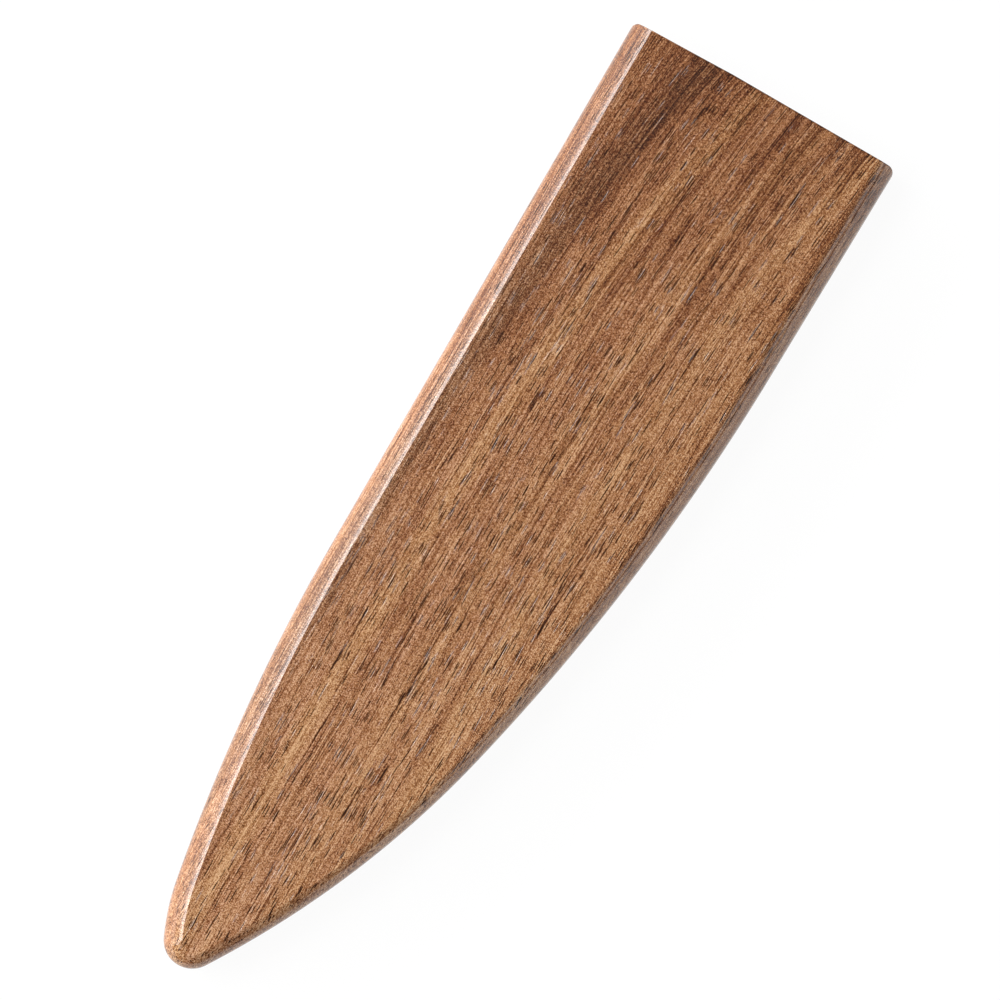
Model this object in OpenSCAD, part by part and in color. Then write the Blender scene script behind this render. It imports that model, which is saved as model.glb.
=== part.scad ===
// Wooden blade guard for a chef's knife: two milled shells glued back to back round a felt-lined pocket.
// X runs from the open mouth to the tip, Y from the straight spine edge to the curved belly edge, Z up.
// The guard lies on its rear face with its origin under the middle of its outline.

/* [Overall] */
// Length from the mouth to the tip
guard_length = 216; // [200:1:260]
// Width across the mouth
guard_width = 62; // [56:1:76]
// Thickness of both shells together
guard_thickness = 14; // [13:0.5:20]
// Radius of the round-over along the outer edges
edge_round = 4.7; // [2:0.1:5.5]

/* [Outline] */
// Radius of the tip, seen from above
tip_radius = 6; // [5.6:0.1:9]
// Distance of the tip's centre from the straight spine edge
tip_height = 16.2; // [13:0.1:22]
// Radius of the short arc between the long spine arc and the tip
nose_radius = 50; // [40:1:70]
// Slope of the spine edge where the short arc starts, in degrees
nose_start = 10.5; // [8:0.5:14]
// Slope of the spine edge where the short arc meets the tip, in degrees
nose_end = 24.5; // [18:0.5:32]
// Radius of the belly edge behind the tip
belly_radius = 210; // [180:1:240]
// Slope of the belly edge where it meets the tip, in degrees
belly_end = 32.5; // [28:0.5:36]
// Slope of the belly edge where its two arcs meet, in degrees
belly_middle = 13.5; // [11:0.5:16]
// Slope of the belly edge at the mouth, in degrees
belly_taper = 1.1; // [0:0.1:3]
// Corner radius at the mouth on the spine side
spine_corner = 0.8; // [0.4:0.1:2]
// Corner radius at the mouth on the belly side
belly_corner = 1.8; // [0.4:0.1:3]

/* [Pocket] */
// Width of the glued rim round the pocket
rim_width = 6; // [5:0.1:7]
// Wood left beyond the pocket at the tip
tip_wall = 9; // [8:0.5:16]
// Depth of the pocket in each shell
pocket_depth = 2.9; // [2:0.1:3.5]
// Size of the lead-in chamfer on the pocket floor at the mouth
lead_in = 0.8; // [0.3:0.1:1.5]

/* [Felt lining] */
// Thickness of the felt on each pocket floor
felt_thickness = 0.8; // [0.5:0.1:1.2]
// Gap between the felt and the pocket's side walls
felt_gap = 0.3; // [0.1:0.1:1]
// Distance of the felt from the mouth
felt_setback = 2.5; // [1:0.5:8]

/* [Magnets] */
// Diameter of each disc magnet
magnet_diameter = 10; // [6:0.5:12]
// Thickness of each disc magnet
magnet_thickness = 2; // [1:0.1:2.5]
// Play between a magnet and the wall of its bore
magnet_play = 0.1; // [0.05:0.05:0.3]
// Room for glue under each magnet
magnet_bed = 0.1; // [0.05:0.05:0.3]
// Distance of the first magnet from the mouth
magnet_start = 30; // [20:1:50]
// Size of the chamfer round both faces of a magnet
magnet_chamfer = 0.2; // [0.1:0.05:0.4]
// Distance from one magnet to the next
magnet_pitch = 42; // [30:1:46]
// Distance of the magnets from the spine edge
magnet_line = 27; // [20:0.5:34]

/* [Locating dowels] */
// Diameter of the dowels that line up the two shells
dowel_diameter = 3; // [2:0.5:3.5]
// Length of each dowel
dowel_length = 6; // [4:0.5:8]
// Size of the chamfer round both ends of a dowel
dowel_chamfer = 0.3; // [0.1:0.1:0.6]
// Play between a dowel and the wall of its hole
dowel_play = 0.05; // [0.02:0.01:0.15]
// Room past each end of a dowel
dowel_end_room = 0.3; // [0.1:0.1:1]
// Distance of the first pair of dowels from the mouth
dowel_start = 16; // [10:1:30]
// Distance of the second pair of dowels from the tip
dowel_back = 70; // [64:1:100]

/* [Hidden] */

walnut = [0.56, 0.37, 0.23];
felt = [0.22, 0.17, 0.14];
nickel = [0.78, 0.77, 0.74];
beech = [0.80, 0.66, 0.47];

bore_fn = 96;
// How far a facet of an outline arc may stay inside the true arc, and how many facets make the round-over
facet_sag = 0.01;
round_steps = 10;

// Half the thickness: the height of the glue seam and the thickness of each shell
seam = guard_thickness / 2;
// How far shapes reach past the faces that cut them or that they cut
past = 2;
magnet_count = 4;

// A direction along the outline is an angle from +X, and the inside lies to its left
function outward(angle) = [sin(angle), -cos(angle)];
function arc_point(arc, angle, inset = 0) = arc[0] + (arc[1] - inset) * outward(angle);

// The outline is five tangent arcs between two straight edges, each as [centre, radius, first angle, last
// angle], from the spine round the tip to the belly. They are laid out from the tip backwards, and the last
// arc on each side takes the radius that brings it onto the straight edge that runs to the mouth.
tip_arc = [[guard_length - tip_radius, tip_height], tip_radius, nose_end, 180 - belly_end];
nose_arc = [tip_arc[0] - (nose_radius - tip_radius) * outward(nose_end), nose_radius, nose_start, nose_end];
nose_foot = arc_point(nose_arc, nose_start);
spine_radius = nose_foot.y / (1 - cos(nose_start));
spine_arc = [nose_foot - spine_radius * outward(nose_start), spine_radius, 0, nose_start];
fore_arc = [tip_arc[0] - (belly_radius - tip_radius) * outward(180 - belly_end), belly_radius,
    180 - belly_end, 180 - belly_middle];
fore_foot = arc_point(fore_arc, 180 - belly_middle);
// The belly is steeper than its taper at the mouth where a wide guard leaves no room for the straight edge
mouth_slope = max(belly_taper, 2 * atan((guard_width - fore_foot.y) / fore_foot.x) - belly_middle);
belly_drop = (guard_width - fore_foot.y) * cos(mouth_slope) - fore_foot.x * sin(mouth_slope);
heel_radius = belly_drop / (1 - cos(belly_middle - mouth_slope));
heel_arc = [fore_foot - heel_radius * outward(180 - belly_middle), heel_radius,
    180 - belly_middle, 180 - mouth_slope];

// Points along a row of arcs, drawn parallel to it at an inset, and carried on straight past the mouth
function outline_points(arcs, inset) =
    let (heel = arcs[len(arcs) - 1], arcs_end = arc_point(heel, heel[3], inset))
    concat(
        [[-past, arc_point(arcs[0], 0, inset).y]],
        arc_points(arcs[0], inset, 0),
        [for (k = [1 : len(arcs) - 1])
            each arc_points(arcs[k], inset, arcs[k - 1][3] == arcs[k][2] ? 1 : 0)],
        [[-past, arcs_end.y + (arcs_end.x + past) * tan(mouth_slope)]]
    );

function arc_points(arc, inset, first) =
    let (count = ceil((arc[3] - arc[2]) / (2 * acos(1 - facet_sag / arc[1]))))
    [for (i = [first : count]) arc_point(arc, arc[2] + (arc[3] - arc[2]) * i / count, inset)];

function guard_points(inset) =
    outline_points([spine_arc, nose_arc, tip_arc, fore_arc, heel_arc], inset);

// The pocket keeps the rim's width along both edges and ends square, a little narrower and shorter by a gap
function pocket_points(gap) =
    let (
        inset = rim_width + gap,
        end = guard_length - tip_wall - gap,
        nose_stop = asin((end - nose_arc[0].x) / (nose_radius - inset)),
        fore_start = 180 - asin((end - fore_arc[0].x) / (belly_radius - inset))
    )
    outline_points([
        spine_arc, [nose_arc[0], nose_radius, nose_start, nose_stop],
        [fore_arc[0], belly_radius, fore_start, fore_arc[3]], heel_arc
    ], inset);

// Points on the middle of the rim, at a distance from the mouth
belly_foot = arc_point(heel_arc, 180 - mouth_slope);
function spine_rim(x) = x < spine_arc[0].x
    ? [x, rim_width / 2]
    : arc_point(spine_arc, asin((x - spine_arc[0].x) / spine_radius), rim_width / 2);
function belly_rim(x) = x < belly_foot.x
    ? [x, guard_width - x * tan(mouth_slope) - rim_width / 2 / cos(mouth_slope)]
    : arc_point(heel_arc, 180 - asin((x - heel_arc[0].x) / heel_radius), rim_width / 2);

// Draws a shape from distances along and across the outline, with the origin under the guard's middle
module placed() {
    translate([-guard_length / 2, -guard_width / 2, 0]) children();
}

// A board of the guard's outline that runs past the mouth, with a round-over along its upper outer edges
module rounded_board() {
    turns = [for (j = [0 : round_steps]) 90 * j / round_steps];
    insets = concat([0], [for (turn = turns) edge_round * (1 - cos(turn))]);
    heights = concat([0], [for (turn = turns) seam - edge_round * (1 - sin(turn))]);
    rings = [for (inset = insets) guard_points(inset)];
    count = len(rings[0]);
    last = len(rings) - 1;
    points = [for (j = [0 : last]) for (point = rings[j]) [point.x, point.y, heights[j]]];
    sides = [for (j = [0 : last - 1]) for (i = [0 : count - 2])
        let (low = j * count + i, high = low + count)
        each [[low, high, high + 1], [low, high + 1, low + 1]]];
    lower_face = [for (i = [0 : count - 1]) i];
    upper_face = [for (i = [count - 1 : -1 : 0]) last * count + i];
    end_face = concat([for (j = [0 : last]) j * count + count - 1], [for (j = [last : -1 : 0]) j * count]);
    polyhedron(points = points, faces = concat([lower_face, upper_face, end_face], sides));
}

// Takes off all that lies before a distance from the mouth
module mouth_cut(distance) {
    translate([-2 * past, -past, -past])
        cube([2 * past + distance, guard_width + 2 * past, seam + 2 * past]);
}

// A shell corner at the mouth is taken off with this upright cutter, drawn for the spine side
module corner_cut(radius) {
    translate([0, 0, -past]) linear_extrude(seam + 2 * past)
        difference() {
            translate([-past, -past]) square(radius + past);
            translate([radius, radius]) circle(radius, $fn = bore_fn);
        }
}

// Places what it holds at each magnet, on the pocket floor
module at_magnet(index) {
    translate([magnet_start + (index - 1) * magnet_pitch, magnet_line, pocket_depth]) children();
}

// One shell, drawn with its glue face at z = 0 and its outer face up
module shell() {
    belly_corner_y = guard_width - belly_corner * (tan(mouth_slope) + 1 / cos(mouth_slope));
    difference() {
        rounded_board();
        mouth_cut(0);
        translate([0, 0, -past])
            linear_extrude(pocket_depth + past) polygon(pocket_points(0));
        for (index = [1 : magnet_count])
            at_magnet(index)
                translate([0, 0, -past])
                    cylinder(h = magnet_thickness + magnet_bed + past,
                        d = magnet_diameter + 2 * magnet_play, $fn = bore_fn);
        for (point = dowel_points)
            translate([point.x, point.y, -past])
                cylinder(h = dowel_length / 2 + dowel_end_room + past,
                    d = dowel_diameter + 2 * dowel_play, $fn = bore_fn);
        corner_cut(spine_corner);
        translate([0, belly_corner_y + belly_corner, 0]) mirror([0, 1, 0]) corner_cut(belly_corner);
        translate([0, guard_width - rim_width - felt_gap, 0])
            rotate([90, 0, 0])
                linear_extrude(guard_width - 2 * rim_width - 2 * felt_gap)
                    polygon([
                        [-past, pocket_depth / 2],
                        [lead_in + pocket_depth / 2, pocket_depth / 2],
                        [-past, pocket_depth + lead_in + past]
                    ]);
    }
}

// The felt, drawn as it lies in the shell
module lining() {
    difference() {
        translate([0, 0, pocket_depth - felt_thickness])
            linear_extrude(felt_thickness) polygon(pocket_points(felt_gap));
        mouth_cut(felt_setback);
    }
}

module magnet(index) {
    radius = magnet_diameter / 2;
    at_magnet(index)
        rotate_extrude($fn = bore_fn)
            polygon([
                [0, 0], [radius - magnet_chamfer, 0], [radius, magnet_chamfer],
                [radius, magnet_thickness - magnet_chamfer],
                [radius - magnet_chamfer, magnet_thickness], [0, magnet_thickness]
            ]);
}

// The four dowels: a pair behind the mouth and a pair where the belly starts to close in
dowel_points = [
    spine_rim(dowel_start), spine_rim(guard_length - dowel_back),
    belly_rim(dowel_start), belly_rim(guard_length - dowel_back)
];

module dowel(point) {
    radius = dowel_diameter / 2;
    half = dowel_length / 2;
    color(beech)
        placed()
            translate([point.x, point.y, seam])
                rotate_extrude($fn = bore_fn)
                    polygon([
                        [0, -half], [radius - dowel_chamfer, -half], [radius, dowel_chamfer - half],
                        [radius, half - dowel_chamfer], [radius - dowel_chamfer, half], [0, half]
                    ]);
}

// Stands what belongs to the upper half on the glue seam
module front() {
    placed() translate([0, 0, seam]) children();
}

// Hangs what belongs to the lower half under it, as a mirror image
module rear() {
    placed() translate([0, 0, seam]) mirror([0, 0, 1]) children();
}

module front_shell() { color(walnut) front() shell(); }
module rear_shell() { color(walnut) rear() shell(); }
module front_lining() { color(felt) front() lining(); }
module rear_lining() { color(felt) rear() lining(); }
module front_magnet(index) { color(nickel) front() magnet(index); }
module rear_magnet(index) { color(nickel) rear() magnet(index); }

front_shell();
rear_shell();
front_lining();
rear_lining();
front_magnet(1);  // front_magnet_1
front_magnet(2);  // front_magnet_2
front_magnet(3);  // front_magnet_3
front_magnet(4);  // front_magnet_4
rear_magnet(1);  // rear_magnet_1
rear_magnet(2);  // rear_magnet_2
rear_magnet(3);  // rear_magnet_3
rear_magnet(4);  // rear_magnet_4
dowel(dowel_points[0]);  // spine_dowel_1
dowel(dowel_points[1]);  // spine_dowel_2
dowel(dowel_points[2]);  // belly_dowel_1
dowel(dowel_points[3]);  // belly_dowel_2
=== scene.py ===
"""The knife blade guard as it looks: walnut shells, felt, magnets and dowels in the CAD frame."""

import math

import bmesh
import bpy
from mathutils import Matrix, Vector


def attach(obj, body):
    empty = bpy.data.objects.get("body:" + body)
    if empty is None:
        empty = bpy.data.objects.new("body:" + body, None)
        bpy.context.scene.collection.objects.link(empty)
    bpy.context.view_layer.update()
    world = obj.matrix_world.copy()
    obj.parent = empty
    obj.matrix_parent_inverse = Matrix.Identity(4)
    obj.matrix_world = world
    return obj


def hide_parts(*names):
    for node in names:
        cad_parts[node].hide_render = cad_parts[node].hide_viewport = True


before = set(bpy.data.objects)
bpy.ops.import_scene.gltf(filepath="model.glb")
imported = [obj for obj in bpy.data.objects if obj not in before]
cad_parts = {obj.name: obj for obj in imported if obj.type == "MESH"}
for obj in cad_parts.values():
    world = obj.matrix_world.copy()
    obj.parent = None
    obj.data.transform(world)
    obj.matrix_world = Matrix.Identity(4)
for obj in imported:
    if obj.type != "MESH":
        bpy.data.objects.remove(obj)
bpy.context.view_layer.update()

MM = 0.001

# The guard's sizes in millimetres and degrees, the same values as the solids have
LENGTH, WIDTH, THICKNESS = 216, 62, 14
SEAM = THICKNESS / 2
TIP_RADIUS, TIP_HEIGHT = 6, 16.2
NOSE_RADIUS, NOSE_START, NOSE_END = 50, 10.5, 24.5
BELLY_RADIUS, BELLY_END, BELLY_MIDDLE, BELLY_TAPER = 210, 32.5, 13.5, 1.1
SPINE_CORNER, BELLY_CORNER = 0.8, 1.8
RIM_WIDTH, TIP_WALL, POCKET_DEPTH, LEAD_IN = 6, 9, 2.9, 0.8
FELT_THICKNESS, FELT_GAP, FELT_SETBACK = 0.8, 0.3, 2.5
MAGNET_BORE, MAGNET_BORE_DEPTH = 10.2, 2.1
MAGNETS = [(30 + 42 * i, 27) for i in range(4)]
DOWEL_BORE, DOWEL_BORE_DEPTH = 3.1, 3.3
DOWEL_PLACES = (16, LENGTH - 70)

# What only the dressed part has, in millimetres: an eased seam, and a mouth that sanding has turned
# back toward the spine corner. MOUTH_EASE is what is asked of the mouth's edge, but the short edges
# beside it hold it to about 0.001, so that edge is in effect sharp
SEAM_EASE, MOUTH_EASE = 0.1, 0.3
MOUTH_SLANT, MOUTH_SLANT_WIDTH, MOUTH_SLANT_BEND = 0.6, 23, 0.9
SPINE_CORNER_EASE = 0.6
# The angle in degrees at which the round-over meets the flat face
ARRIS = 12
# The round-over's radius by the way that the side faces: 0 is the spine side, 180 the belly side
ROUNDS = [(0, 5.1), (26, 5.1), (44, 4.1), (70, 3.7), (165, 3.7), (173, 4.7), (180, 4.8)]
# The felt's cut edge: its round, and one point on it as an inset and a height over the felt's face
FELT_ROUND, FELT_SHOULDER = 0.25, (0.07, 0.08)

# How finely the curves are cut into straight steps
GUARD_STEPS, POCKET_STEPS = (40, 16, 56, 40, 40), (20, 8, 16, 20)
ROUND_STEPS, CIRCLE_STEPS, CORNER_STEPS, SLANT_STEPS, EASE_STEPS = 20, 48, 12, 8, 4
# Edges over this angle in degrees stay crisp
SHARP_ANGLE = 10
# How far a cutter reaches past the wood and into a space that is already cut
PAST, OVERLAP = 2, 1
# How squarely a face has to look out of the mouth, and how far aside the face next to it; the
# guard is wide and thin, so a height counts for more than a width in the way out from its middle
MOUTH_FACING, ASIDE_FACING, HEIGHT_WEIGHT = 0.99, 0.9, 3


def outward(angle):
    """The way out of the outline where it runs at this angle from +X."""
    return Vector((math.sin(angle), -math.cos(angle)))


def outline_arcs():
    """The outline's five tangent arcs, each as (centre, radius, first angle, last angle)."""
    nose_start, nose_end = math.radians(NOSE_START), math.radians(NOSE_END)
    belly_end = math.pi - math.radians(BELLY_END)
    belly_middle = math.pi - math.radians(BELLY_MIDDLE)
    taper = math.radians(BELLY_TAPER)
    tip = Vector((LENGTH - TIP_RADIUS, TIP_HEIGHT))
    nose = tip - (NOSE_RADIUS - TIP_RADIUS) * outward(nose_end)
    nose_foot = nose + NOSE_RADIUS * outward(nose_start)
    spine_radius = nose_foot.y / (1 - math.cos(nose_start))
    spine = nose_foot - spine_radius * outward(nose_start)
    fore = tip - (BELLY_RADIUS - TIP_RADIUS) * outward(belly_end)
    fore_foot = fore + BELLY_RADIUS * outward(belly_middle)
    drop = (WIDTH - fore_foot.y) * math.cos(taper) - fore_foot.x * math.sin(taper)
    heel_radius = drop / (1 - math.cos(math.pi - belly_middle - taper))
    heel = fore_foot - heel_radius * outward(belly_middle)
    return [
        (spine, spine_radius, 0, nose_start),
        (nose, NOSE_RADIUS, nose_start, nose_end),
        (tip, TIP_RADIUS, nose_end, belly_end),
        (fore, BELLY_RADIUS, belly_end, belly_middle),
        (heel, heel_radius, belly_middle, math.pi - taper),
    ]


ARCS = outline_arcs()


def outline(arcs, inset, start, steps):
    """Points along the arcs at an inset, with both edges carried on straight to the start."""
    points = []
    for number, (centre, radius, first, last) in enumerate(arcs):
        joined = number > 0 and abs(arcs[number - 1][3] - first) < 1e-9
        for i in range(1 if joined else 0, steps[number] + 1):
            angle = first + (last - first) * i / steps[number]
            points.append(centre + (radius - inset) * outward(angle))
    belly = points[-1]
    tail_y = belly.y + (belly.x - start) * math.tan(math.radians(BELLY_TAPER))
    return [Vector((start, points[0].y))] + points + [Vector((start, tail_y))]


def guard_outline(inset):
    """The guard's own outline at an inset."""
    return outline(ARCS, inset, 0, GUARD_STEPS)


def round_at(out):
    """The round-over's radius where the side faces this way."""
    facing = math.degrees(math.atan2(out.x, -out.y))
    for (low, first), (high, last) in zip(ROUNDS, ROUNDS[1:]):
        if facing <= high:
            return first + (last - first) * (facing - low) / (high - low)
    return ROUNDS[-1][1]


def pocket_outline(gap, start):
    """The pocket's outline, cut square at its inner end."""
    inset = RIM_WIDTH + gap
    end = LENGTH - TIP_WALL - gap
    spine, nose, _, fore, heel = ARCS
    nose_stop = math.asin((end - nose[0].x) / (nose[1] - inset))
    fore_start = math.pi - math.asin((end - fore[0].x) / (fore[1] - inset))
    arcs = [spine, (*nose[:3], nose_stop), (*fore[:2], fore_start, fore[3]), heel]
    return outline(arcs, inset, start, POCKET_STEPS)


def circle(centre, radius):
    """Points round a circle."""
    turns = [2 * math.pi * i / CIRCLE_STEPS for i in range(CIRCLE_STEPS)]
    return [Vector((centre[0] + radius * math.cos(t), centre[1] + radius * math.sin(t)))
            for t in turns]


def new_piece(name, points, faces):
    """A mesh object from millimetres along and across the outline and up from the floor."""
    mesh = bpy.data.meshes.new(name)
    places = [((x - LENGTH / 2) * MM, (y - WIDTH / 2) * MM, z * MM) for x, y, z in points]
    mesh.from_pydata(places, [], faces)
    b = bmesh.new()
    b.from_mesh(mesh)
    bmesh.ops.recalc_face_normals(b, faces=b.faces)
    b.to_mesh(mesh)
    b.free()
    piece = bpy.data.objects.new(name, mesh)
    bpy.context.scene.collection.objects.link(piece)
    return piece


def stack(name, rings):
    """A closed mesh through equal rings of points, capped at both ends."""
    count, last = len(rings[0]), len(rings) - 1
    faces = [list(range(count)), [last * count + i for i in range(count)]]
    for j in range(last):
        low, high = j * count, (j + 1) * count
        for i in range(count):
            after = (i + 1) % count
            faces.append((low + i, low + after, high + after, high + i))
    return new_piece(name, [point for ring in rings for point in ring], faces)


def bake(piece):
    """Turns a piece's modifiers into its mesh."""
    graph = bpy.context.evaluated_depsgraph_get()
    mesh = bpy.data.meshes.new_from_object(piece.evaluated_get(graph))
    piece.modifiers.clear()
    piece.data = mesh


def cut(piece, rings):
    """Takes the closed mesh through these rings away from a piece."""
    cutter = stack("cutter", rings)
    modifier = piece.modifiers.new("cut", "BOOLEAN")
    modifier.operation = "DIFFERENCE"
    modifier.solver = "EXACT"
    modifier.object = cutter
    bake(piece)
    bpy.data.objects.remove(cutter)


def soften(piece):
    """Smooth shading that keeps flat faces flat and sharp edges crisp."""
    piece.data.shade_smooth()
    piece.data.set_sharp_from_angle(angle=math.radians(SHARP_ANGLE))
    modifier = piece.modifiers.new("normals", "WEIGHTED_NORMAL")
    modifier.mode = "FACE_AREA"
    modifier.keep_sharp = True
    bake(piece)


def mouth_line(y):
    """How far the mouth is turned back at a distance from the spine edge."""
    return MOUTH_SLANT * max(0, 1 - y / MOUTH_SLANT_WIDTH) ** MOUTH_SLANT_BEND


def slant():
    """The waste outside the mouth line, seen from above."""
    steps = range(SLANT_STEPS + 1)
    places = [MOUTH_SLANT_WIDTH * (1 - i / SLANT_STEPS) for i in steps] + [-PAST]
    edge = [Vector((mouth_line(max(y, 0)), y)) for y in places]
    return edge + [Vector((-PAST, -PAST)), Vector((-PAST, MOUTH_SLANT_WIDTH))]


def corner(radius, centre_y, way):
    """The waste outside one rounded upright corner at the mouth, seen from above."""
    back = mouth_line(centre_y)
    arc = []
    for i in range(CORNER_STEPS + 1):
        turn = math.pi / 2 * i / CORNER_STEPS
        x = back + radius * (1 - math.cos(turn))
        arc.append(Vector((x, centre_y + way * radius * math.sin(turn))))
    far = centre_y + way * (radius + PAST)
    return arc + [Vector((back + radius, far)), Vector((-PAST, far)), Vector((-PAST, centre_y))]


def dowel_places():
    """Points on the middle of the rim, on the spine and on the belly side."""
    spine, heel = ARCS[0], ARCS[4]
    taper = math.radians(BELLY_TAPER)
    middle = RIM_WIDTH / 2
    points = []
    for x in DOWEL_PLACES:
        if x < spine[0].x:
            points.append((x, middle))
        else:
            angle = math.asin((x - spine[0].x) / spine[1])
            points.append(spine[0] + (spine[1] - middle) * outward(angle))
        if x < heel[0].x + heel[1] * math.sin(taper):
            points.append((x, WIDTH - x * math.tan(taper) - middle / math.cos(taper)))
        else:
            angle = math.pi - math.asin((x - heel[0].x) / heel[1])
            points.append(heel[0] + (heel[1] - middle) * outward(angle))
    return points


def ease_mouth(piece):
    """A round along the mouth's outer edge. The short edges beside it hold it to about 0.001 mm."""
    b = bmesh.new()
    b.from_mesh(piece.data)
    deepest = (MOUTH_SLANT - LENGTH / 2) * MM
    rim = []
    for edge in b.edges:
        middle = (edge.verts[0].co + edge.verts[1].co) / 2
        mouth = [f for f in edge.link_faces if f.normal.x < -MOUTH_FACING]
        beside = [f for f in edge.link_faces if abs(f.normal.x) < ASIDE_FACING]
        if middle.x > deepest or len(mouth) != 1 or len(beside) != 1:
            continue
        away = Vector((0, middle.y, (middle.z - SEAM * MM) * HEIGHT_WEIGHT))
        if beside[0].normal.dot(away) > 0:
            rim.append(edge)
    bmesh.ops.bevel(b, geom=rim, offset=MOUTH_EASE * MM, segments=EASE_STEPS, profile=0.5,
                    affect="EDGES", clamp_overlap=True)
    b.to_mesh(piece.data)
    b.free()


def shell(name, side):
    """One walnut half with its pocket and bores; side is 1 for the upper, -1 for the lower."""

    def lift(points, height):
        return [(p[0], p[1], SEAM + side * height) for p in points]

    rim = guard_outline(0)
    inward = [inner - outer for inner, outer in zip(guard_outline(1), rim)]
    rounds = [round_at(-way) for way in inward]
    rings = [lift(guard_outline(SEAM_EASE), 0), lift(rim, SEAM_EASE)]
    # The round-over from the side up to the arris, then the flat face, as shares of the radius
    last = math.radians(90 - ARRIS)
    turns = [last * j / ROUND_STEPS for j in range(ROUND_STEPS + 1)]
    levels = [(1 - math.cos(turn), math.sin(last) - math.sin(turn)) for turn in turns] + [(1, 0)]
    for inset, drop in levels:
        ring = []
        for point, way, radius in zip(rim, inward, rounds):
            place = point + way * radius * inset
            ring.append((place.x, place.y, SEAM + side * (SEAM - radius * drop)))
        rings.append(ring)
    piece = stack(name, rings)

    taper = math.radians(BELLY_TAPER)
    belly_centre = WIDTH - BELLY_CORNER * (math.tan(taper) + 1 / math.cos(taper))
    spine_corner = SPINE_CORNER + SPINE_CORNER_EASE
    for waste in (slant(), corner(spine_corner, spine_corner, -1),
                  corner(BELLY_CORNER, belly_centre, 1)):
        cut(piece, [lift(waste, -PAST), lift(waste, SEAM + PAST)])
    ease_mouth(piece)

    pocket = pocket_outline(0, -PAST)
    cut(piece, [lift(pocket, -PAST), lift(pocket, POCKET_DEPTH)])
    # The lead-in is a wedge that falls at 45 degrees from the mouth into the pocket
    foot = POCKET_DEPTH / 2
    wedge = [(-PAST, foot), (LEAD_IN + foot, foot), (-PAST, POCKET_DEPTH + LEAD_IN + PAST)]
    edges = (RIM_WIDTH + FELT_GAP, WIDTH - RIM_WIDTH - FELT_GAP)
    cut(piece, [[(x, y, SEAM + side * h) for x, h in wedge] for y in edges])
    for place in MAGNETS:
        bore = circle(place, MAGNET_BORE / 2)
        floor = POCKET_DEPTH + MAGNET_BORE_DEPTH
        cut(piece, [lift(bore, POCKET_DEPTH - OVERLAP), lift(bore, floor)])
    for place in dowel_places():
        bore = circle(place, DOWEL_BORE / 2)
        cut(piece, [lift(bore, -PAST), lift(bore, DOWEL_BORE_DEPTH)])
    soften(piece)
    return piece


def felt_sheet(name, side):
    """A felt sheet on the pocket floor, with softly rounded cut edges."""
    face = POCKET_DEPTH - FELT_THICKNESS
    inset, height = FELT_SHOULDER
    shoulder = (inset, face + height)
    levels = [(0, POCKET_DEPTH), (0, face + FELT_ROUND), shoulder, (FELT_ROUND, face)]
    rings = []
    for inset, height in levels:
        points = pocket_outline(FELT_GAP + inset, FELT_SETBACK + inset)
        rings.append([(p.x, p.y, SEAM + side * height) for p in points])
    piece = stack(name, rings)
    soften(piece)
    return piece


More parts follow.
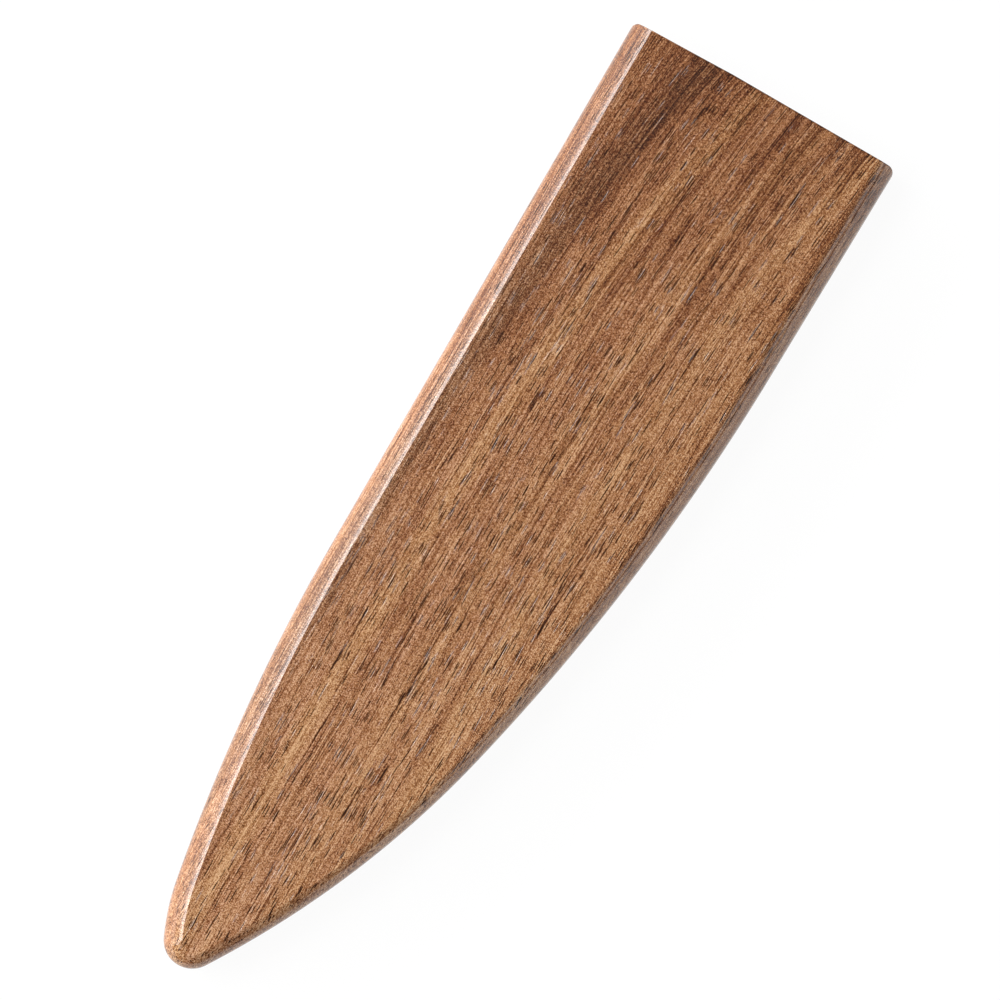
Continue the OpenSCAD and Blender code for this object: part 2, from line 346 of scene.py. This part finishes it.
class Nodes:
    """A short way to write a material's node tree."""

    def __init__(self, name):
        self.material = bpy.data.materials.new(name)
        self.material.use_nodes = True
        self.tree = self.material.node_tree
        self.tree.nodes.clear()
        self.out = self.add("OutputMaterial")

    def add(self, kind, **settings):
        node = self.tree.nodes.new("ShaderNode" + kind)
        for key, value in settings.items():
            setattr(node, key, value)
        return node

    def feed(self, socket, value):
        """Links a socket to another, or sets its own value."""
        if isinstance(value, bpy.types.NodeSocket):
            self.tree.links.new(value, socket)
        elif isinstance(value, (tuple, Vector)) and socket.type == "RGBA":
            socket.default_value = (*value[:3], 1)
        else:
            socket.default_value = value

    def math(self, operation, *values):
        node = self.add("Math", operation=operation)
        for socket, value in zip(node.inputs, values):
            self.feed(socket, value)
        return node.outputs[0]

    def position(self):
        """Millimetres from the mouth, from the spine edge and up from the seam."""
        node = self.add("Mapping")
        self.feed(node.inputs["Vector"], self.add("TexCoord").outputs["Object"])
        node.inputs["Scale"].default_value = (1 / MM, 1 / MM, 1 / MM)
        node.inputs["Location"].default_value = (LENGTH / 2, WIDTH / 2, -SEAM)
        return node.outputs[0]

    def split(self, vector):
        node = self.add("SeparateXYZ")
        self.feed(node.inputs[0], vector)
        return node.outputs

    def join(self, x, y, z):
        node = self.add("CombineXYZ")
        for socket, value in zip(node.inputs, (x, y, z)):
            self.feed(socket, value)
        return node.outputs[0]

    def stretch(self, vector, size, shift=(0, 0, 0)):
        """The vector with one unit for each given size, moved by a shift."""
        node = self.add("Mapping")
        self.feed(node.inputs["Vector"], vector)
        node.inputs["Scale"].default_value = [1 / s for s in size]
        node.inputs["Location"].default_value = shift
        return node.outputs[0]

    def turn(self, vector, angles):
        """The vector turned about the three axes."""
        node = self.add("Mapping")
        self.feed(node.inputs["Vector"], vector)
        node.inputs["Rotation"].default_value = angles
        return node.outputs[0]

    def noise(self, vector, detail=2.0, roughness=0.5, distortion=0.0):
        node = self.add("TexNoise")
        self.feed(node.inputs["Vector"], vector)
        node.inputs["Scale"].default_value = 1.0
        node.inputs["Detail"].default_value = detail
        node.inputs["Roughness"].default_value = roughness
        node.inputs["Distortion"].default_value = distortion
        return node.outputs[0]

    def cells(self, vector):
        node = self.add("TexVoronoi")
        self.feed(node.inputs["Vector"], vector)
        node.inputs["Scale"].default_value = 1.0
        return node.outputs

    def ramp(self, value, stops):
        """A colour ramp through stops of a position and a grey level or colour."""
        node = self.add("ValToRGB")
        self.feed(node.inputs[0], value)
        elements = node.color_ramp.elements
        while len(elements) < len(stops):
            elements.new(0.5)
        for element, (position, colour) in zip(elements, stops):
            element.position = position
            element.color = (*colour, 1) if isinstance(colour, tuple) else (*(colour,) * 3, 1)
        return node.outputs[0]

    def fit(self, value, low, high, to_low=0.0, to_high=1.0):
        """The value carried from one range to another, and held at its ends."""
        node = self.add("MapRange")
        for socket, number in zip(node.inputs, (value, low, high, to_low, to_high)):
            self.feed(socket, number)
        return node.outputs[0]

    def mix(self, factor, a, b, blend="MIX"):
        node = self.add("Mix", data_type="RGBA", blend_type=blend)
        sockets = (node.inputs[0], node.inputs[6], node.inputs[7])
        for socket, value in zip(sockets, (factor, a, b)):
            self.feed(socket, value)
        return node.outputs[2]

    def bump(self, height, strength, distance):
        node = self.add("Bump")
        node.inputs["Strength"].default_value = strength
        node.inputs["Distance"].default_value = distance
        self.feed(node.inputs["Height"], height)
        return node.outputs[0]

    def principled(self, **inputs):
        """The finished material, its shader's sockets named with underscores for spaces."""
        node = self.add("BsdfPrincipled")
        for key, value in inputs.items():
            self.feed(node.inputs[key.replace("_", " ")], value)
        self.feed(self.out.inputs["Surface"], node.outputs[0])
        return self.material


# Walnut from its pores to its palest fibres, against a tone from 0 to 1
TONES = [
    (0.00, (0.028, 0.010, 0.004)), (0.25, (0.068, 0.018, 0.007)), (0.36, (0.128, 0.036, 0.012)),
    (0.47, (0.203, 0.071, 0.025)), (0.55, (0.280, 0.110, 0.042)), (0.62, (0.345, 0.149, 0.062)),
    (0.695, (0.420, 0.200, 0.092)), (0.80, (0.525, 0.281, 0.151)), (0.925, (0.655, 0.398, 0.243)),
]
# Tints of the pale and of the dark bands, and the band levels over which each of them comes in
GOLD, GOLD_LEVELS = (1.0, 1.02, 0.92), (0.42, 0.62)
SMOKE, SMOKE_LEVELS = (0.95, 1.08, 1.20), (0.38, 0.22)

# Growth bands: millimetres across the board at the mouth, and how light the wood is there
BANDS = [
    (0, 0.50), (9, 0.46), (14.5, 0.37), (17.5, 0.26), (20, 0.25), (22.5, 0.38), (26, 0.50),
    (27.9, 0.36), (29, 0.54), (31.5, 0.66), (33.7, 0.52), (34.7, 0.38), (36.2, 0.52),
    (40.4, 0.40), (43, 0.53), (46.4, 0.58), (49.5, 0.44), (51.5, 0.56), (54, 0.46), (57, 0.62),
    (62, 0.50), (66, 0.58), (72, 0.48), (80, 0.55),
]
BAND_REACH = 80
# How far the bands and the fibres rise toward the spine, the length over which they level out,
# how much less the fibres rise near the spine edge, and how the bands lean through the thickness
BAND_RISE, BAND_RISE_LENGTH, BAND_LEAN = 17.5, 53.7, 0.6
FIBRE_RISE, FIBRE_RISE_LENGTH = 7.2, 41
SPINE_FIBRE_RISE, SPINE_FIBRE_WIDTHS = 1.2, (1.0, 11.0)
# How strongly the bands show near the mouth and toward the tip, and where each strength is reached
BAND_GAIN, BAND_GAIN_PLACES = (0.56, 0.36), (30, 100)

# How far a seed moves the texture along each axis
SEED_SHIFT = (7.3, 5.1, 3.7)
# Layers of noise: size in millimetres along, across and up, detail, seed step and gain. The first
# four bend the figure by millimetres, and the others add to the tone
FIBRE_WAVE = ((60, 30, 20), 1, 0.0, 2.0)
FIBRE_RAGGED = ((9.0, 1.6, 1.6), 0, 4.0, 0.45)
BAND_WAVE = ((60, 12, 12), 1, 2.0, 2.2)
BAND_RIPPLE = ((45, 2.2, 2.2), 1, 6.0, 1.1)
BROAD_STREAKS = ((110, 2.2, 2.2), 1, 1.0, 0.24)
NARROW_STREAKS = ((50, 0.9, 0.9), 1, 3.0, 0.24)
FINE_LINES = ((16, 0.17, 0.17), 0, 5.0, 0.62)

# The mean tone, and how much darker the wood is toward the mouth, on its end grain and in a painted
# shade along the mouth's edge, at the glue line and in hairlines, each with the lengths or noise
# levels over which that fades out
MEAN_TONE = 0.662
MOUTH_SHADE, MOUTH_SHADE_LENGTH = 0.17, 65
# Darker within 0.4 mm of the mouth: real end grain on the mouth face, and a painted shade along the
# mouth's edge on the flat face
END_GRAIN_AND_PAINTED_EDGE_SHADE, END_GRAIN_AND_PAINTED_EDGE_DEPTHS = 0.20, (0.05, 0.4)
GLUE_SHADE, GLUE_HEIGHTS = 0.4, (0.05, 0.12)
HAIRLINE_SHADE, HAIRLINE_LEVELS = 0.22, (0.30, 0.44)
HAIRLINES = ((28, 0.32, 0.32), 1, 9.0)
# Speckle in cells turned out of the board's axes, fainter on the round-over than on the flat
SPECK_SIZE, SPECK_TURN, SPECK_GAIN = 0.18, (0.7, 0.5, 0.6), (0.40, 0.52)
# Heights from the seam at which the round-over ends and the flat begins
FACE_HEIGHTS = (5.8, 6.9)

# Pores: size of a cell in millimetres, a pore's radius as a share of the cell, and seed step
PORES = (((9, 0.38, 0.38), 0.29, 11.0), ((4.5, 0.32, 0.32), 0.35, 13.0))
PORE_SHADE, PORE_CORE = 0.9, 0.75
# They gather in clusters, more so in dark bands, and there are fewer of them on the round-over
CLUSTERS, CLUSTER_BY_BAND = ((40, 1.9, 1.9), 2, 7.0), -0.3
CLUSTER_LEVELS, PORE_SHARES, ROUND_PORE_SHARE = (0.47, 0.17), (0.05, 0.72), 0.3
# Some pores have a lip that stands up in the lacquer: its width over the pore's, the share of
# pores without one, and its height in metres
LIP_WIDTH, NO_LIP_SHARE, LIP_HEIGHT = 1.4, 0.75, 0.000026


def walnut(name, seed):
    """Lacquered walnut: one solid texture for faces, sides, round-over and end grain."""
    n = Nodes(name)
    place = n.position()
    x, y, z = n.split(place)
    height = n.math("ABSOLUTE", z)

    def moved(step):
        return tuple(seed * way + step for way in SEED_SHIFT)

    def part(vector, size, detail, step):
        return n.noise(n.stretch(vector, size, moved(step)), detail)

    def add(total, value, gain):
        return n.math("MULTIPLY_ADD", n.math("SUBTRACT", value, 0.5), gain, total)

    def layer(total, vector, size, detail, step, gain):
        return add(total, part(vector, size, detail, step), gain)

    def fade(length):
        return n.math("EXPONENT", n.math("DIVIDE", x, -length))

    fibre_rise = n.fit(y, *SPINE_FIBRE_WIDTHS, SPINE_FIBRE_RISE, FIBRE_RISE)
    levelled = n.math("SUBTRACT", 1.0, fade(FIBRE_RISE_LENGTH))
    fibre_y = layer(n.math("MULTIPLY_ADD", levelled, fibre_rise, y), place, *FIBRE_WAVE)
    fibre = n.join(x, fibre_y, z)
    ragged = n.join(x, layer(fibre_y, fibre, *FIBRE_RAGGED), z)

    levelled = n.math("SUBTRACT", 1.0, fade(BAND_RISE_LENGTH))
    lean = n.math("MULTIPLY_ADD", n.math("SUBTRACT", z, SEAM), BAND_LEAN, y)
    band = n.math("ADD", lean, n.math("MULTIPLY", levelled, BAND_RISE))
    band = layer(band, place, *BAND_WAVE)
    band = layer(band, fibre, *BAND_RIPPLE)
    stops = [(width / BAND_REACH, value) for width, value in BANDS]
    bands = n.ramp(n.math("DIVIDE", band, BAND_REACH), stops)

    tone = n.math("MULTIPLY_ADD", fade(MOUTH_SHADE_LENGTH), -MOUTH_SHADE, MEAN_TONE)
    # Painted shade along the mouth's edge on the flat face, together with the mouth's darker end
    # grain
    tone = n.math("ADD", tone, n.fit(x, *END_GRAIN_AND_PAINTED_EDGE_DEPTHS, -END_GRAIN_AND_PAINTED_EDGE_SHADE, 0.0))
    tone = n.math("SUBTRACT", tone, n.fit(height, *GLUE_HEIGHTS, GLUE_SHADE, 0.0))
    tone = add(tone, bands, n.fit(x, *BAND_GAIN_PLACES, *BAND_GAIN))
    tone = layer(tone, fibre, *BROAD_STREAKS)
    tone = layer(tone, fibre, *NARROW_STREAKS)
    tone = layer(tone, ragged, *FINE_LINES)
    hairlines = n.fit(part(ragged, *HAIRLINES), *HAIRLINE_LEVELS, HAIRLINE_SHADE, 0.0)
    tone = n.math("SUBTRACT", tone, hairlines)
    grain = n.stretch(n.turn(place, SPECK_TURN), (SPECK_SIZE,) * 3)
    speck = n.split(n.cells(grain)["Color"])[0]
    tone = add(tone, speck, n.fit(height, *FACE_HEIGHTS, *SPECK_GAIN))

    cluster = n.math("MULTIPLY_ADD", bands, CLUSTER_BY_BAND, part(fibre, *CLUSTERS))
    share = n.math("MULTIPLY", n.fit(cluster, *CLUSTER_LEVELS, *PORE_SHARES),
                   n.fit(height, *FACE_HEIGHTS, ROUND_PORE_SHARE, 1.0))
    cores, lips = [], []
    for size, radius, step in PORES:
        cell = n.cells(n.stretch(ragged, size, moved(step)))
        lot, _, shine = n.split(cell["Color"])
        chosen = n.math("LESS_THAN", lot, share)
        core = n.fit(cell["Distance"], radius * PORE_CORE, radius, 1.0, 0.0)
        lip = n.fit(cell["Distance"], radius * PORE_CORE, radius * LIP_WIDTH, 1.0, 0.0)
        lip = n.math("MULTIPLY", lip, chosen)
        cores.append(n.math("MULTIPLY", core, chosen))
        lips.append(n.math("MULTIPLY", lip, n.math("GREATER_THAN", shine, NO_LIP_SHARE)))
    pores, lips = n.math("MAXIMUM", *cores), n.math("MAXIMUM", *lips)
    tone = n.math("MULTIPLY_ADD", pores, -PORE_SHADE, tone)

    colour = n.ramp(tone, TONES)
    for tint, levels in ((GOLD, GOLD_LEVELS), (SMOKE, SMOKE_LEVELS)):
        tinted = n.mix(1.0, colour, tint, "MULTIPLY")
        colour = n.mix(n.fit(bands, *levels), colour, tinted)
    return n.principled(
        Base_Color=colour,
        Roughness=n.fit(speck, 0.3, 0.7, 0.5, 0.6),
        Specular_IOR_Level=0.05,
        Coat_Weight=n.math("MULTIPLY_ADD", pores, -0.5, 1.0),
        Coat_Roughness=0.15,
        Coat_IOR=1.7,
        Coat_Normal=n.bump(n.math("SUBTRACT", 1.0, lips), 1.0, LIP_HEIGHT),
    )


def felt(name):
    """Dense dark wool felt."""
    n = Nodes(name)
    place = n.position()
    fibres = n.noise(n.stretch(place, (0.5, 0.5, 0.5)), 5, 0.75, 2.5)
    clumps = n.noise(n.stretch(place, (3.0, 3.0, 3.0)), 3, 0.6)
    colour = n.mix(n.fit(fibres, 0.35, 0.65), (0.016, 0.013, 0.011), (0.115, 0.095, 0.082))
    colour = n.mix(n.fit(clumps, 0.40, 0.60, 0.0, 0.55), colour, (0.040, 0.032, 0.027))
    return n.principled(
        Base_Color=colour,
        Roughness=n.fit(fibres, 0.2, 0.8, 0.85, 1.0),
        Sheen_Weight=0.25,
        Sheen_Roughness=0.5,
        Normal=n.bump(fibres, 1.0, 0.0004),
    )


def nickel(name):
    """Nickel plate on the disc magnets, faintly scratched."""
    n = Nodes(name)
    place = n.position()
    cloud = n.noise(n.stretch(place, (1.4, 1.4, 1.4)), 4, 0.6)
    scratch = n.noise(n.stretch(place, (3.3, 0.11, 3.3)), 2)
    return n.principled(
        Base_Color=n.mix(n.fit(cloud, 0.3, 0.7), (0.66, 0.64, 0.60), (0.76, 0.75, 0.72)),
        Metallic=1.0,
        Roughness=n.fit(scratch, 0.3, 0.7, 0.16, 0.32),
    )


def beech(name):
    """Bare beech dowels, with short flecks along Z."""
    n = Nodes(name)
    place = n.position()
    fibres = n.noise(n.stretch(place, (0.25, 0.25, 2.0)), 3, 0.6)
    flecks = n.noise(n.stretch(place, (0.45, 0.45, 1.1)), 1)
    colour = n.mix(n.fit(fibres, 0.3, 0.7), (0.62, 0.44, 0.27), (0.74, 0.56, 0.37))
    colour = n.mix(n.fit(flecks, 0.6, 0.72, 0.0, 0.6), colour, (0.42, 0.26, 0.15))
    return n.principled(Base_Color=colour, Roughness=n.fit(fibres, 0.2, 0.8, 0.55, 0.7))


def dress():
    """Replaces the shells and the felts, and gives every other node its material."""
    for name, side, seed in (("front", 1, 1), ("rear", -1, 2)):
        piece = shell(name + "_walnut_shell", side)
        piece.data.materials.clear()
        piece.data.materials.append(walnut(name + "_walnut", seed))
        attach(piece, "root")
        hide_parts(name + "_shell")
    felt_material = felt("felt")
    for name, side in (("front", 1), ("rear", -1)):
        sheet = felt_sheet(name + "_felt", side)
        sheet.data.materials.append(felt_material)
        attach(sheet, "root")
        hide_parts(name + "_lining")
    plate, dowel_wood = nickel("nickel"), beech("beech")
    for name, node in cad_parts.items():
        for word, material in (("magnet", plate), ("dowel", dowel_wood)):
            if word in name:
                for slot in node.material_slots:
                    slot.material = material


# The picture's frame: where the outline's spine-side mouth corner lies, the way along it, its scale
PIXELS = 1000
CORNER_PIXEL = Vector((635.54, 20.55))
ALONG_PIXEL = Vector((-0.50211, 0.86480))
MM_PER_PIXEL = LENGTH / 1045.3
# How far off the camera stands and how wide its sensor is in millimetres, and in metres how near
# and how far it sees
CAMERA_DISTANCE = 1600
SENSOR_WIDTH = 36
CLIP_START, CLIP_END = 0.05, 20


def add_camera():
    """Looks straight down, turned so that the guard lies aslant, its mouth at the upper right."""
    across = Vector((ALONG_PIXEL.y, -ALONG_PIXEL.x))
    offset = Vector((PIXELS / 2, PIXELS / 2)) - CORNER_PIXEL
    x = offset.dot(ALONG_PIXEL) * MM_PER_PIXEL - LENGTH / 2
    y = offset.dot(across) * MM_PER_PIXEL - WIDTH / 2
    right = Vector((ALONG_PIXEL.x, across.x, 0))
    up = Vector((-ALONG_PIXEL.y, -across.y, 0))
    turn = Matrix((right, up, Vector((0, 0, 1)))).transposed().to_4x4()
    data = bpy.data.cameras.new("camera")
    camera = bpy.data.objects.new("camera", data)
    bpy.context.scene.collection.objects.link(camera)
    place = Vector((x, y, SEAM + CAMERA_DISTANCE)) * MM
    camera.matrix_world = Matrix.Translation(place) @ turn
    data.sensor_width = SENSOR_WIDTH
    data.lens = SENSOR_WIDTH * CAMERA_DISTANCE / (PIXELS * MM_PER_PIXEL)
    data.clip_start, data.clip_end = CLIP_START, CLIP_END
    bpy.context.scene.camera = camera


# How far the lights stand from the guard, in metres
LIGHT_DISTANCE = 1.3


def add_light(name, zenith, spread, radiance, azimuth=0.0, glossy=True):
    """A soft light at an angle from straight up toward the spine side, turned toward the tip by
    the azimuth, as tall and wide in degrees as spread."""
    lean, turn = math.radians(zenith), math.radians(azimuth)
    level = math.sin(lean)
    way = Vector((level * math.sin(turn), -level * math.cos(turn), math.cos(lean)))
    data = bpy.data.lights.new(name, "AREA")
    data.shape = "RECTANGLE"
    data.size = 2 * LIGHT_DISTANCE * math.tan(math.radians(spread[1] / 2))
    data.size_y = 2 * LIGHT_DISTANCE * math.tan(math.radians(spread[0] / 2))
    data.energy = radiance * math.pi * data.size * data.size_y
    light = bpy.data.objects.new(name, data)
    light.visible_camera = False
    light.visible_glossy = glossy
    bpy.context.scene.collection.objects.link(light)
    side = Vector((math.cos(turn), math.sin(turn), 0))
    turn_matrix = Matrix((side, way.cross(side), way)).transposed().to_4x4()
    light.matrix_world = Matrix.Translation(way * LIGHT_DISTANCE) @ turn_matrix


# The floor's half side and its gap under the guard in metres, the grey of the cloth that lights
# the guard, and the darker grey and the glow that the camera and reflections see in its place
FLOOR_REACH, FLOOR_GAP = 3.0, 0.0002
CLOTH, DIM_CLOTH, GLOW = 0.9, 0.06, 0.95
# The even light from all round
WORLD_STRENGTH = 0.1


def add_stage():
    """A pale floor that shows white to the camera and still takes the guard's shadow."""
    corners = [(-1, -1), (1, -1), (1, 1), (-1, 1)]
    points = [(x * FLOOR_REACH, y * FLOOR_REACH, -FLOOR_GAP) for x, y in corners]
    mesh = bpy.data.meshes.new("floor")
    mesh.from_pydata(points, [], [(0, 1, 2, 3)])
    floor = bpy.data.objects.new("floor", mesh)
    bpy.context.scene.collection.objects.link(floor)
    n = Nodes("floor")
    cloth, dim = n.add("BsdfDiffuse"), n.add("BsdfDiffuse")
    cloth.inputs["Color"].default_value = (CLOTH, CLOTH, CLOTH, 1)
    dim.inputs["Color"].default_value = (DIM_CLOTH, DIM_CLOTH, DIM_CLOTH, 1)
    glow = n.add("Emission")
    glow.inputs["Strength"].default_value = GLOW
    lit = n.add("AddShader")
    n.feed(lit.inputs[0], dim.outputs[0])
    n.feed(lit.inputs[1], glow.outputs[0])
    path = n.add("LightPath").outputs
    reflected = n.math("MAXIMUM", path["Is Glossy Ray"], path["Is Transmission Ray"])
    seen = n.math("MAXIMUM", path["Is Camera Ray"], reflected)
    choice = n.add("MixShader")
    for socket, value in zip(choice.inputs, (seen, cloth.outputs[0], lit.outputs[0])):
        n.feed(socket, value)
    n.feed(n.out.inputs["Surface"], choice.outputs[0])
    mesh.materials.append(n.material)
    world = bpy.data.worlds.new("world")
    world.use_nodes = True
    background = world.node_tree.nodes["Background"]
    background.inputs["Color"].default_value = (1, 1, 1, 1)
    background.inputs["Strength"].default_value = WORLD_STRENGTH
    bpy.context.scene.world = world


dress()
add_camera()
add_stage()
add_light("overhead_softbox", zenith=29, spread=(22, 34), radiance=7.4, azimuth=8)
add_light("overhead_spill", zenith=49, spread=(20, 34), radiance=2.7, azimuth=8)
add_light("side_softbox", zenith=76, spread=(28, 150), radiance=1.5)
add_light("side_fill", zenith=69, spread=(20, 120), radiance=7.0, glossy=False)
add_light("belly_card", zenith=-50, spread=(14, 30), radiance=1.4)
add_light("low_card", zenith=-79, spread=(26, 60), radiance=1.3)
bpy.context.scene.view_settings.view_transform = "Standard"
